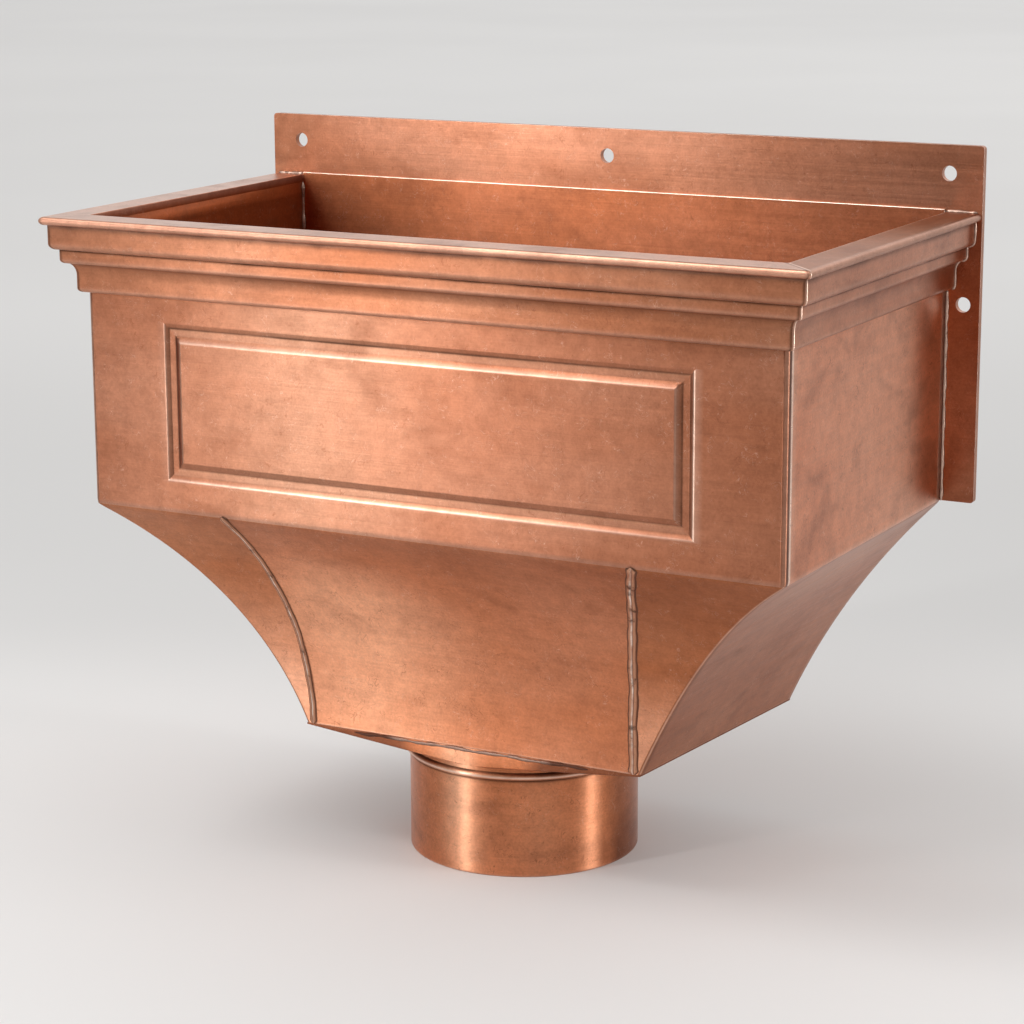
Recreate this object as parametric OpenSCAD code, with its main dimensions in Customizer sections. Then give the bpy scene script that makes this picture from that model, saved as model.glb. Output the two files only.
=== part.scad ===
// Copper hopper head for a rainwater downpipe, fabricated from folded and soldered sheet.
// Millimetres. +X runs along the width, +Y points to the wall and +Z points up.
// The origin is on the outlet's axis, at the outlet's lower end.

/* [Box] */
// Outside width of the box, over its side sheets
body_w = 320; // [280:1:400]
// Outside depth of the box, from the front sheet to the wall plate
body_d = 170; // [150:1:210]
// Height of the box from the funnel up to the cornice
body_h = 91.5; // [75:0.5:130]
// Thickness of the box, funnel, moulding and outlet sheet
sheet = 1.5; // [0.8:0.1:1.6]
// Outside radius of the front sheet's folded corners
corner_r = 2; // [1.8:0.1:3.5]
// Width of the edge that the front sheet turns onto each side
front_return = 4; // [3.6:0.1:10]

/* [Pressed panel] */
// Plain sheet left on each side of the pressed panel
panel_side = 38.5; // [20:0.5:60]
// Plain sheet left below the pressed panel
panel_below = 14; // [8:0.5:24]
// Plain sheet left between the pressed panel and the cornice
panel_above = 11.5; // [5:0.5:20]
// Depth of the sunk border below the face of the front sheet
recess_depth = 2; // [1:0.1:3]
// Width of the slope from the face down to the sunk border
recess_slope = 1.6; // [1:0.1:3]
// Width of the flat sunk border
ledge_w = 3; // [2:0.1:8]
// Width of the bevel from the sunk border up to the raised field
field_bevel = 3; // [2:0.1:6]
// Height of the raised field above the face of the front sheet
field_proud = 0.6; // [0:0.1:1.5]

/* [Cornice] */
// Height of the lowest band
band_h = 7.2; // [5:0.1:16]
// Projection of the lowest band beyond the box
band_out = 3.4; // [2.4:0.1:3.5]
// Projection of the hollow moulding above the band
cavetto_r = 3; // [2:0.1:3.1]
// Height of the hollow moulding
cavetto_h = 5.3; // [3:0.1:8]
// Height of the middle member
member_h = 5.9; // [5:0.1:12]
// Projection of the middle member beyond the box
member_out = 8.3; // [8.2:0.1:9.6]
// Height of the upper fascia
fascia_h = 10.5; // [7:0.5:18]
// Projection of the upper fascia beyond the box
fascia_out = 11.6; // [10.4:0.1:12.4]
// Radius of the folded lower edges of the band and the middle member
fold_r = 1.7; // [1.6:0.1:1.8]
// Radius of the folded lower edge of the fascia
fascia_fold_r = 2.6; // [1.6:0.1:3]

/* [Rim] */
// Projection of the rim's rounded nose beyond the box
rim_out = 14.2; // [13.4:0.1:20]
// Thickness of the rim strip
rim_h = 3.5; // [2.5:0.1:5]

/* [Wall plate] */
// Thickness of the wall plate
plate_t = 3; // [1.5:0.1:4]
// Height of the wall plate above the rim
plate_above = 28; // [20:1:50]
// Margin of the wall plate past the rim at each side
plate_past_rim = 0.4; // [0:0.1:6]
// Radius of the wall plate's corners
plate_corner_r = 1.6; // [0.5:0.1:5]
// Diameter of the fixing holes
hole_d = 6.5; // [4:0.1:9]
// Distance of the upper fixing holes from the plate's top edge
hole_below_top = 12; // [8:0.5:18]
// Distance of the outer upper holes from the plate's side edges
hole_from_edge = 15; // [8:0.5:40]
// Distance of the side fixing holes below the cornice
side_hole_below = 6.5; // [4.8:0.1:60]

/* [Funnel] */
// Height of the coved funnel
funnel_h = 98; // [80:1:120]
// Distance that the front cove runs in
front_in = 40; // [36:0.5:44]
// Distance that each side cove runs in, level with the front of the outlet
side_in = 79.5; // [70:0.5:84]
// Distance that each side cove runs in at the wall
side_in_back = 68; // [62:0.5:80]
// Lean from vertical of a side cove at its lower edge, in degrees
side_lean = 24; // [14:1:28]
// Gap left for solder between the back panel and the side coves
back_gap = 0.05; // [0.02:0.01:0.3]
// Distance of a front seam's upper end from the box's corner
seam_top_in = 65; // [50:1:90]
// Distance of a front seam's lower end from the funnel's lower corner
seam_foot_in = 3.2; // [2.6:0.1:12]

/* [Outlet] */
// Outside diameter of the outlet tube
outlet_d = 100; // [90:1:100]
// Length of the outlet tube
outlet_l = 46.5; // [36:0.5:70]
// Height of the square-to-round transition
transition_h = 7.7; // [6:0.1:16]
// Length of straight collar between the transition and the tube
collar_l = 1.5; // [0.5:0.1:6]
// Length of the collar's spigot inside the tube
spigot_l = 10; // [5:0.5:20]
// Gap between the spigot and the tube
spigot_gap = 0.1; // [0.05:0.01:0.3]
// Radius of the bead rolled round the top of the tube
bead_r = 1.6; // [1:0.1:2.4]
// Distance of the bead's middle from the top of the tube
bead_below_top = 1.9; // [1.7:0.1:6]

/* [Solder] */
// Radius of the solder left along the wall plate and in the inner corners
solder_r = 1.5; // [1:0.1:3]
// Thickness of the solder round the cornice's ends
end_solder = 0.7; // [0.5:0.1:1.4]
// Radius of each ridge of the front cove seams
ridge_r = 1.1; // [1:0.05:2]
// Spacing of the two ridges of a front cove seam
ridge_gap = 1.7; // [1.4:0.1:3.2]
// Radius of the solder line below the front cove
lip_solder_r = 0.9; // [0.5:0.1:1.2]
// Distance of that line's ends from the funnel's lower corners
lip_solder_in = 24; // [20:1:40]

/* [Hidden] */
$fn = 96;
copper = [0.80, 0.45, 0.31];
dark_copper = [0.62, 0.33, 0.22];
tinned = [0.72, 0.66, 0.61];
over = 1;

half = body_w / 2;
outlet_r = outlet_d / 2;
bore_r = outlet_r - sheet;

funnel_z = outlet_l + collar_l + transition_h;
box_z = funnel_z + funnel_h;
cornice_z = box_z + body_h;
cavetto_z = band_h;
member_z = cavetto_z + cavetto_h;
fascia_z = member_z + member_h;
cornice_h = fascia_z + fascia_h;
rim_z = cornice_z + cornice_h;
rim_top = rim_z + rim_h;
plate_top = rim_top + plate_above;

// The front cove's lower edge stands flush with the front of the outlet.
foot_y = -outlet_r;
front_y = foot_y - front_in;
plate_y = front_y + body_d;
back_y = plate_y - sheet;
foot_x = half - side_in;

// The front cove is an arc that ends upright at the funnel's lower edge.
front_r = (front_in * front_in + funnel_h * funnel_h) / (2 * front_in);
front_cy = foot_y - front_r;

// Each side cove's section is an arc that still leans at the funnel's lower edge.
// It runs in less and less towards the wall, so the sheet is ruled between two such arcs.
side_steps = 32;
function side_run_in(y) = side_in + (side_in_back - side_in) * (y - foot_y) / (plate_y - foot_y);
function side_foot(y) = half - side_run_in(y);
function side_top_lean(y) = 2 * atan(side_run_in(y) / funnel_h) - side_lean;
function side_r(y) = funnel_h / (sin(side_top_lean(y)) - sin(side_lean));
function side_cx(y) = side_foot(y) + side_r(y) * cos(side_lean);
function side_cz(y) = funnel_z - side_r(y) * sin(side_lean);
// Lean at a step of the arc; one step more at each end takes the arc past the funnel.
function side_turn(y, i) = side_top_lean(y) + (side_lean - side_top_lean(y)) * i / side_steps;
function side_point(y, i, grow) = [
    side_cx(y) - (side_r(y) + grow) * cos(side_turn(y, i)),
    y,
    side_cz(y) + (side_r(y) + grow) * sin(side_turn(y, i))
];

seam_top_x = half - seam_top_in;
seam_foot_x = foot_x - seam_foot_in;
seam_run = seam_top_x - seam_foot_x;
seam_turn = atan(seam_run / front_in);
// In its own upright plane a seam is close to an arc that ends upright too.
seam_in = front_in / cos(seam_turn);
seam_r = (seam_in * seam_in + funnel_h * funnel_h) / (2 * seam_in);
seam_sweep = asin(funnel_h / seam_r);

panel_w = body_w - 2 * panel_side;
panel_z = box_z + panel_below;
panel_h = body_h - panel_below - panel_above;
floor_in = recess_slope;
ledge_in = floor_in + ledge_w;
field_in = ledge_in + field_bevel;
floor_y = front_y + recess_depth;
field_y = front_y - field_proud;
// Sideways shift of a sloped wall that keeps the pressed sheet's thickness
recess_shift = sheet * tan(atan(recess_depth / recess_slope) / 2);
field_shift = sheet * tan(atan((recess_depth + field_proud) / field_bevel) / 2);

plate_half = half + rim_out + plate_past_rim;
upper_hole_x = plate_half - hole_from_edge;
upper_hole_z = plate_top - hole_below_top;
side_hole_x = (half + plate_half) / 2;
side_hole_z = cornice_z - side_hole_below;

mitre_reach = rim_out + over;

// Stands a section, drawn as distance out and height, along the front of the box.
module front_run() {
    length = body_w + 2 * mitre_reach;
    translate([length / 2, front_y, 0]) rotate([90, 0, -90]) linear_extrude(length) children();
}

// Stands a section, drawn as distance out and height, along the right side of the box.
module side_run() {
    length = body_d + mitre_reach;
    translate([half, plate_y, 0]) rotate([90, 0, 0]) linear_extrude(length) children();
}

// Upright block that keeps the part of a front run between its two mitres.
module front_mitre(inner) {
    linear_extrude(plate_top)
        polygon([
            [-half + inner, front_y + inner],
            [half - inner, front_y + inner],
            [half + mitre_reach, front_y - mitre_reach],
            [-half - mitre_reach, front_y - mitre_reach]
        ]);
}

// Upright block that keeps the part of a side run between its mitre and the wall plate.
module side_mitre(inner) {
    linear_extrude(plate_top)
        polygon([
            [half - inner, front_y + inner],
            [half + mitre_reach, front_y - mitre_reach],
            [half + mitre_reach, plate_y],
            [half - inner, plate_y]
        ]);
}

// Block between two rectangles that share a centre line along Y, with sloping sides between.
module bevelled_block(inset_a, y_a, inset_b, y_b) {
    far = panel_w / 2;
    intersection() {
        translate([0, 0, panel_z])
            linear_extrude(panel_h)
                polygon([
                    [-far + inset_a, y_a],
                    [far - inset_a, y_a],
                    [far - inset_b, y_b],
                    [-far + inset_b, y_b]
                ]);
        translate([-far, 0, panel_z]) rotate([90, 0, 90])
            linear_extrude(panel_w)
                polygon([
                    [y_a, inset_a],
                    [y_a, panel_h - inset_a],
                    [y_b, panel_h - inset_b],
                    [y_b, inset_b]
                ]);
    }
}

// Plan of the front sheet's fold, set in from its outer face.
module front_fold(inset) {
    radius = corner_r - inset;
    edge = half - corner_r;
    difference() {
        union() {
            translate([-edge, front_y + inset]) square([2 * edge, front_return]);
            translate([inset - half, front_y + corner_r]) square([body_w - 2 * inset, front_return]);
            for (side = [-1, 1]) translate([side * edge, front_y + corner_r]) circle(radius);
        }
        if (inset == 0) translate([-half - over, front_y + front_return]) square([body_w + 2 * over, body_d]);
    }
}

// Flat flange at the wall with five fixing holes, reaching above the rim and past the sides.
module wall_plate() {
    width = 2 * plate_half;
    height = plate_top - box_z;
    inner_w = width - 2 * plate_corner_r;
    inner_h = height - 2 * plate_corner_r;
    holes = [
        [-upper_hole_x, upper_hole_z],
        [0, upper_hole_z],
        [upper_hole_x, upper_hole_z],
        [-side_hole_x, side_hole_z],
        [side_hole_x, side_hole_z]
    ];
    color(copper) difference() {
        translate([0, plate_y + plate_t, box_z]) rotate([90, 0, 0]) linear_extrude(plate_t) {
            translate([-plate_half, plate_corner_r]) square([width, inner_h]);
            translate([plate_corner_r - plate_half, 0]) square([inner_w, height]);
            for (x = [-1, 1], z = [0, 1])
                translate([x * inner_w / 2, plate_corner_r + z * inner_h]) circle(plate_corner_r);
        }
        for (hole = holes)
            translate([hole[0], plate_y - over, hole[1]]) rotate([-90, 0, 0])
                cylinder(d = hole_d, h = plate_t + 2 * over);
    }
}

// The box's own back, which ends in the outline of the side coves.
module back_panel() {
    color(dark_copper) translate([0, plate_y, 0]) rotate([90, 0, 0]) linear_extrude(sheet) {
        translate([sheet - half, box_z]) square([body_w - 2 * sheet, rim_top - box_z]);
        difference() {
            translate([-half, funnel_z]) square([body_w, funnel_h]);
            for (side = [-1, 1])
                translate([side * side_cx(back_y), side_cz(back_y)])
                    circle(side_r(back_y) + sheet + back_gap, $fn = 360);
        }
    }
}

// Front sheet with folded edges and a pressed panel: sunk border, bevel and raised field.
module front_panel() {
    color(copper) difference() {
        union() {
            difference() {
                union() {
                    translate([0, 0, box_z]) linear_extrude(rim_z - box_z) difference() {
                        front_fold(0);
                        front_fold(sheet);
                    }
                    bevelled_block(-recess_shift, front_y + sheet, floor_in - recess_shift, floor_y + sheet);
                }
                bevelled_block(-recess_slope * over / recess_depth, front_y - over, floor_in, floor_y);
            }
            bevelled_block(ledge_in, floor_y, field_in, field_y);
        }
        bevelled_block(ledge_in + field_shift, floor_y + sheet, field_in + field_shift, field_y + sheet);
    }
}

module side_panel() {
    color(copper)
        translate([half - sheet, front_y + front_return, box_z])
            cube([sheet, body_d - front_return, rim_z - box_z]);
}

module left_side_panel() { mirror([1, 0, 0]) side_panel(); }

module right_side_panel() { side_panel(); }

// Flat rim strip with a half-round nose, lying on the top edge of the box.
module rim_section() {
    nose = rim_h / 2;
    translate([-sheet, rim_z]) square([rim_out - nose + sheet, rim_h]);
    translate([rim_out - nose, rim_z + nose]) circle(nose);
}

module front_rim() {
    color(copper) intersection() {
        front_run() rim_section();
        front_mitre(sheet);
    }
}

module side_rim() {
    color(copper) intersection() {
        side_run() rim_section();
        side_mitre(sheet);
    }
}

module left_rim() { mirror([1, 0, 0]) side_rim(); }

module right_rim() { side_rim(); }

// One step of the cornice, with its lower outer edge folded to a radius.
module cornice_step(out, low, high, radius) {
    translate([0, low]) square([out - radius, high - low]);
    translate([0, low + radius]) square([out, high - low - radius]);
    translate([out - radius, low + radius]) circle(radius);
}

// Outline of the cornice against the box, drawn inwards by inset; a negative inset swells it.
module cornice_outline(inset) {
    fold = fold_r - inset;
    translate([0, cornice_z]) {
        cornice_step(band_out - inset, inset, cornice_h, fold);
        cornice_step(member_out - inset, member_z + inset, cornice_h, fold);
        cornice_step(fascia_out - inset, fascia_z + inset, cornice_h, fascia_fold_r - inset);
        difference() {
            translate([0, cavetto_z]) square([band_out + cavetto_r, cavetto_h + inset]);
            translate([band_out + cavetto_r, cavetto_z]) scale([cavetto_r + inset, cavetto_h + inset]) circle(1);
        }
    }
}

// Folded sheet of the cornice: band, cavetto, middle member and fascia.
module cornice_section() {
    difference() {
        cornice_outline(0);
        cornice_outline(sheet);
    }
}

module front_cornice() {
    color(copper) intersection() {
        front_run() cornice_section();
        front_mitre(0);
    }
}

module side_cornice() {
    color(copper) intersection() {
        side_run() cornice_section();
        side_mitre(0);
    }
}

module left_cornice() { mirror([1, 0, 0]) side_cornice(); }

module right_cornice() { side_cornice(); }

// Round bar along X on the centre of the front cove's arc.
module front_bar(radius) {
    translate([-half - over, front_cy, funnel_z]) rotate([0, 90, 0])
        cylinder(r = radius, h = body_w + 2 * over, $fn = 360);
}

// Space outside the right side cove, between its arcs at the front and at the wall.
module side_form(grow) {
    ends = [front_y - over, plate_y + over];
    first = side_steps + 4;
    points = [
        for (y = ends)
            let (arc = [for (i = [-1 : side_steps + 1]) side_point(y, i, grow)])
                each concat(arc, [[arc[0][0], y, arc[side_steps + 2][2]]])
    ];
    strips = [
        for (i = [0 : first - 1])
            let (j = (i + 1) % first) each [[i, j, first + i], [j, first + j, first + i]]
    ];
    front_end = [for (i = [first - 1 : -1 : 0]) i];
    back_end = [for (i = [0 : first - 1]) first + i];
    polyhedron(points, concat([front_end], [back_end], strips));
}

// Block that the funnel is cut from.
module funnel_block() {
    translate([-half, front_y, funnel_z]) cube([body_w, body_d, funnel_h]);
}

// Curved sheet of the whole front cove, before its corners are cut.
module front_curve() {
    intersection() {
        difference() {
            front_bar(front_r + sheet);
            front_bar(front_r);
        }
        funnel_block();
    }
}

// Upright wedge between the two seams of the front cove.
module seam_wedge() {
    reach = front_in + 2 * sheet;
    low_x = seam_top_x - seam_run * reach / front_in;
    translate([0, front_y, funnel_z - over]) linear_extrude(funnel_h + 2 * over)
        polygon([[-seam_top_x, 0], [seam_top_x, 0], [low_x, reach], [-low_x, reach]]);
}

module front_cove() {
    color(copper) intersection() {
        front_curve();
        seam_wedge();
    }
}

// Space inside the right-hand sheets of the funnel, open at its top, foot, back and middle.
module funnel_core() {
    difference() {
        translate([-over, front_y - over, funnel_z - over])
            cube([half + 2 * over, body_d + 2 * over, funnel_h + 2 * over]);
        front_bar(front_r + sheet);
        side_form(sheet);
    }
}

// Side cove in one sheet with the gusset that folds round the hip onto the front.
module side_cove() {
    color(copper) difference() {
        translate([0, front_y, funnel_z]) cube([half, body_d, funnel_h]);
        front_bar(front_r);
        side_form(0);
        funnel_core();
        seam_wedge();
    }
}

module left_cove() { mirror([1, 0, 0]) side_cove(); }

module right_cove() { side_cove(); }

// Form that runs from the funnel's lower edge to the round collar, drawn inwards by inset.
module transition_form(inset) {
    skin = 0.6;
    front = [foot_x - inset, foot_y + inset];
    back = [side_foot(plate_y) - inset, plate_y - inset];
    hull() {
        translate([0, 0, transition_h - skin]) linear_extrude(skin)
            polygon([[-front[0], front[1]], front, back, [-back[0], back[1]]]);
        cylinder(r = outlet_r - inset, h = skin);
    }
}

// Square-to-round bottom of the funnel, with a collar and a spigot that enters the outlet tube.
module outlet_transition() {
    spigot_r = bore_r - spigot_gap;
    collar_z = outlet_l;
    transition_z = collar_z + collar_l;
    color(dark_copper) {
        difference() {
            translate([0, 0, transition_z]) transition_form(0);
            translate([0, 0, transition_z + sheet]) transition_form(sheet);
            translate([0, 0, transition_z - over]) cylinder(r = spigot_r - sheet, h = transition_h + over);
        }
        rotate_extrude() {
            translate([spigot_r - sheet, collar_z - spigot_l]) square([sheet, spigot_l + collar_l]);
            translate([spigot_r - sheet, collar_z]) square([outlet_r - spigot_r + sheet, collar_l]);
        }
    }
}

// Outlet tube that the downpipe slides over, with a bead rolled round its top.
module outlet_tube() {
    color(copper) rotate_extrude() difference() {
        union() {
            translate([bore_r, 0]) square([sheet, outlet_l]);
            translate([outlet_r, outlet_l - bead_below_top]) circle(bead_r);
        }
        square([bore_r, outlet_l]);
    }
}

// Double ridge of solder along the seam between the front cove and the right gusset.
module cove_seam() {
    color(tinned) intersection() {
        translate([seam_foot_x, foot_y, funnel_z]) rotate([0, 0, seam_turn]) translate([0, -seam_r, 0])
            rotate([90, 0, 90]) rotate_extrude(angle = seam_sweep, $fn = 360)
                for (side = [-1, 1]) translate([seam_r, side * ridge_gap / 2]) circle(ridge_r, $fn = 32);
        front_bar(front_r);
    }
}

module left_cove_seam() { mirror([1, 0, 0]) cove_seam(); }

module right_cove_seam() { cove_seam(); }

// Quarter-round of solder, drawn in the corner at the origin.
module solder_section(radius) {
    intersection() {
        circle(radius, $fn = 48);
        translate([0, -radius]) square(radius);
    }
}

module wall_solder() {
    color(tinned) translate([half, plate_y, box_z]) linear_extrude(body_h) solder_section(solder_r);
}

module left_wall_solder() { mirror([1, 0, 0]) wall_solder(); }

module right_wall_solder() { wall_solder(); }

module inner_solder() {
    color(tinned) translate([half - sheet, back_y, box_z]) mirror([1, 0, 0])
        linear_extrude(rim_z - box_z) solder_section(solder_r);
}

module left_inner_solder() { mirror([1, 0, 0]) inner_solder(); }

module right_inner_solder() { inner_solder(); }

// Solder that follows the cornice's outline where its end meets the wall plate.
module cornice_solder() {
    color(tinned) translate([half, plate_y, 0]) rotate([90, 0, 0]) linear_extrude(end_solder) difference() {
        intersection() {
            cornice_outline(-end_solder);
            translate([0, cornice_z + solder_r]) square([rim_out, cornice_h - solder_r]);
        }
        cornice_outline(0);
    }
}

module left_cornice_solder() { mirror([1, 0, 0]) cornice_solder(); }

module right_cornice_solder() { cornice_solder(); }

module rim_solder() {
    length = rim_out + sheet - rim_h / 2;
    color(tinned) translate([half - sheet, plate_y, rim_top]) rotate([90, 0, 90])
        linear_extrude(length) rotate([0, 0, 180]) solder_section(solder_r);
}

module left_rim_solder() { mirror([1, 0, 0]) rim_solder(); }

module right_rim_solder() { rim_solder(); }

// Line of solder along the outlet, just below the front cove's lower edge.
module outlet_solder() {
    length = 2 * (foot_x - lip_solder_in);
    color(tinned) translate([-length / 2, foot_y, funnel_z - lip_solder_r]) rotate([90, 0, 90])
        linear_extrude(length) intersection() {
            circle(lip_solder_r, $fn = 32);
            translate([-lip_solder_r, -lip_solder_r]) square([lip_solder_r, 2 * lip_solder_r]);
        }
}

wall_plate();
back_panel();
front_panel();
left_side_panel();
right_side_panel();
front_rim();
left_rim();
right_rim();
front_cornice();
left_cornice();
right_cornice();
front_cove();
left_cove();
right_cove();
outlet_transition();
outlet_tube();
left_cove_seam();
right_cove_seam();
left_wall_solder();
right_wall_solder();
left_inner_solder();
right_inner_solder();
left_cornice_solder();
right_cornice_solder();
left_rim_solder();
right_rim_solder();
outlet_solder();
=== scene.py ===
import math

import bmesh
import bpy
import numpy as np
from mathutils import Matrix, Vector


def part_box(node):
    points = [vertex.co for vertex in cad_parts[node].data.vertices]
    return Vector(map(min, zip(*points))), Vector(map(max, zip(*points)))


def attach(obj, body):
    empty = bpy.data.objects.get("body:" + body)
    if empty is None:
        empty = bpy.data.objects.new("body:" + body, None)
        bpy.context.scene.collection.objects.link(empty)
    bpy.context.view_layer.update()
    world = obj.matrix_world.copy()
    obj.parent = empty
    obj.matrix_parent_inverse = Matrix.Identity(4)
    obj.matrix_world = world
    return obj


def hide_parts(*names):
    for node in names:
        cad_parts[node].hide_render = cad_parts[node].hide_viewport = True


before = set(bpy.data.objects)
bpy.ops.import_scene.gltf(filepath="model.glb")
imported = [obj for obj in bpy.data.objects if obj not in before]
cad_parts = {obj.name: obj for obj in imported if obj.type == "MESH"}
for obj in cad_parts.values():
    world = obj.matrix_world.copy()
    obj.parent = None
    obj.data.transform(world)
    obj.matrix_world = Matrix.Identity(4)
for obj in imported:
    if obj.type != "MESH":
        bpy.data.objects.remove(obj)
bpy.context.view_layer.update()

scene = bpy.context.scene

# Sizes of the sheet work in metres. What the frame's boxes hold is taken from them.
MM = 0.001
SHEET = 1.5 * MM
CORNER_R = 2.0 * MM
FRONT_RETURN = 4.0 * MM
BEND_R = 2.4 * MM
EDGE_ROUND = 0.7 * MM
BACK_LIFT = 1.2 * MM
SIDES = (("left", -1), ("right", 1))

PANEL_SIDE = 38.5 * MM
PANEL_BELOW = 14.0 * MM
PANEL_ABOVE = 10.8 * MM
RECESS_DEPTH = 0.9 * MM
RECESS_SLOPE = 2.0 * MM
LEDGE_W = 3.2 * MM
FIELD_BEVEL = 2.6 * MM
FIELD_PROUD = 0.6 * MM
PRESS_SOFT = 0.28 * MM

BAND_H = 7.2 * MM
BAND_OUT = 3.4 * MM
CAVETTO_R = 3.0 * MM
CAVETTO_H = 5.3 * MM
MEMBER_H = 5.9 * MM
MEMBER_OUT = 8.3 * MM
FOLD_R = 1.7 * MM
FASCIA_FOLD_R = 2.6 * MM
MITRE_R = 0.9 * MM

FRONT_IN = 40.0 * MM
SIDE_IN = 79.5 * MM
SIDE_IN_BACK = 68.0 * MM
SIDE_LEAN = math.radians(24.0)
SEAM_TOP_IN = 65.0 * MM
SEAM_FOOT_IN = 3.2 * MM
HIP_R = 1.4 * MM
RIDGE_R = 1.1 * MM
RIDGE_GAP = 1.7 * MM

OUTLET_R = 50.0 * MM
BEAD_R = 1.6 * MM
BEAD_BELOW_TOP = 1.9 * MM

# Places that the frame gives
panel_low, panel_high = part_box("front_panel")
HALF = panel_high.x
FRONT_Y = panel_low.y + FIELD_PROUD
BOX_Z = panel_low.z
RIM_Z = panel_high.z
RIM_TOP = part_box("front_rim")[1].z
RIM_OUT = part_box("front_rim")[1].x - HALF
CORNICE_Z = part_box("front_cornice")[0].z
FASCIA_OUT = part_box("front_cornice")[1].x - HALF
PLATE_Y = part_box("wall_plate")[0].y
FUNNEL_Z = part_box("front_cove")[0].z
TUBE_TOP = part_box("outlet_tube")[1].z
FOOT_Y = FRONT_Y + FRONT_IN
FUNNEL_H = BOX_Z - FUNNEL_Z
FRONT_COVE_R = (FUNNEL_H ** 2 + FRONT_IN ** 2) / (2 * FRONT_IN)


# Surfaces

def stations(start, end, spacing, marks=(), reach=0.0, fine=1.0):
    """Places from start to end at an even spacing, and at the fine spacing within reach of each mark."""
    even = np.linspace(start, end, max(2, round((end - start) / spacing) + 1))
    near = [np.arange(mark - reach, mark + reach, fine) for mark in marks]
    places = np.concatenate([even, *near])
    places = np.unique(places[(places >= start) & (places <= end)])
    apart = np.append(True, np.diff(places) > 0.4 * fine) if marks else np.ones(len(places), bool)
    apart[-1] = True
    return places[apart]


def wobble(run, seed, longest, octaves=4):
    """Uneven handwork along a run: sine waves of random phase, each half as long and as high as the last."""
    rng = np.random.default_rng(seed)
    octave = np.arange(octaves)
    phase = rng.uniform(0, 2 * np.pi, octaves)
    stretch = rng.uniform(0.8, 1.25, octaves)
    waves = np.sin(2 * np.pi * run[..., None] * 2.0 ** octave * stretch / longest + phase)
    return (waves * 0.5 ** octave).sum(-1) / 2


def hump(value, centre, width):
    """A bell curve of height 1 at the centre, for polish, painted highlights and painted shade that fade to
    both sides.
    """
    return np.exp(-((value - centre) / width) ** 2)


def climb(value, start, length):
    """Rises straight from 0 at the start to 1 a length further on; a negative length falls the other way."""
    return np.clip((value - start) / length, 0, 1)


def run_along(path):
    """Length along a path up to each of its points."""
    return np.append(0, np.cumsum(np.linalg.norm(np.diff(path, axis=0), axis=1)))


def end_fade(run, taper):
    """Rises from 0 to 1 over the taper at both ends of a run."""
    return climb(np.minimum(run, run[-1] - run), 0, taper)


def arc(centre, radius, start_deg, end_deg, count=10):
    """Points of a circular arc in a profile's plane, from one angle to the other."""
    turn = np.radians(np.linspace(start_deg, end_deg, count))
    return np.stack([centre[0] + radius * np.cos(turn), centre[1] + radius * np.sin(turn)], -1)


def spaced(outline, spacing):
    """The same outline with extra points, so that no straight stretch is longer than the spacing."""
    outline = np.asarray(outline, float)
    run = run_along(outline)
    places = np.unique(np.concatenate([run, np.arange(0, run[-1], spacing)]))
    places = places[np.append(True, np.diff(places) > 1e-7)]
    return np.stack([np.interp(places, run, outline[:, 0]), np.interp(places, run, outline[:, 1])], -1)


def bends(outline, soft):
    """Two fields along an outline, its left turns and its right turns, each spread over the soft length."""
    step = np.diff(outline, axis=0)
    run = run_along(outline)
    turn = np.zeros(len(outline))
    turn[1:-1] = np.diff(np.unwrap(np.arctan2(step[:, 1], step[:, 0])))
    bend = hump(run[:, None], run[None, :], soft) @ turn
    return np.clip(bend, 0, 1), np.clip(-bend, 0, 1)


def quads(rows, cols, wrap_rows=False, wrap_cols=False, flip=False):
    """Faces of a grid of points, row by row; a wrapped direction joins its last line to its first."""
    row = np.arange(rows if wrap_rows else rows - 1)
    col = np.arange(cols if wrap_cols else cols - 1)
    row, col = np.meshgrid(row, col, indexing="ij")
    below, beside = (row + 1) % rows, (col + 1) % cols
    corners = [row * cols + col, below * cols + col, below * cols + beside, row * cols + beside]
    faces = np.stack(corners, -1).reshape(-1, 4)
    return (faces[:, ::-1] if flip else faces).tolist()


def tube_faces(points):
    """Faces of a tube whose section runs down the rows of its grid, closed at both ends."""
    rows, cols = points.shape[:2]
    ring = np.arange(rows) * cols
    caps = [ring[::-1].tolist(), (ring + cols - 1).tolist()]
    return quads(rows, cols, wrap_rows=True) + caps


def read_values(items, field, kind, width=1):
    """An array with one field of all vertices, edges, corners or faces of a mesh."""
    values = np.zeros(width * len(items), dtype=kind)
    items.foreach_get(field, values)
    return values.reshape(-1, width) if width > 1 else values


def outward_faces(mesh):
    """Turns the faces of a closed shell outwards."""
    shell = bmesh.new()
    shell.from_mesh(mesh)
    bmesh.ops.recalc_face_normals(shell, faces=shell.faces)
    shell.to_mesh(mesh)
    shell.free()


def brush_directions(mesh, points):
    """A UV map whose first axis runs level round the outlet's axis, and whose second is the height."""
    corner = read_values(mesh.loops, "vertex_index", np.int32)
    around = np.arctan2(points[:, 0], -points[:, 1])
    layer = mesh.uv_layers.new(name="brush")
    place = np.stack([around, points[:, 2]], -1)[corner]
    layer.data.foreach_set("uv", place.astype(np.float32).ravel())


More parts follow.
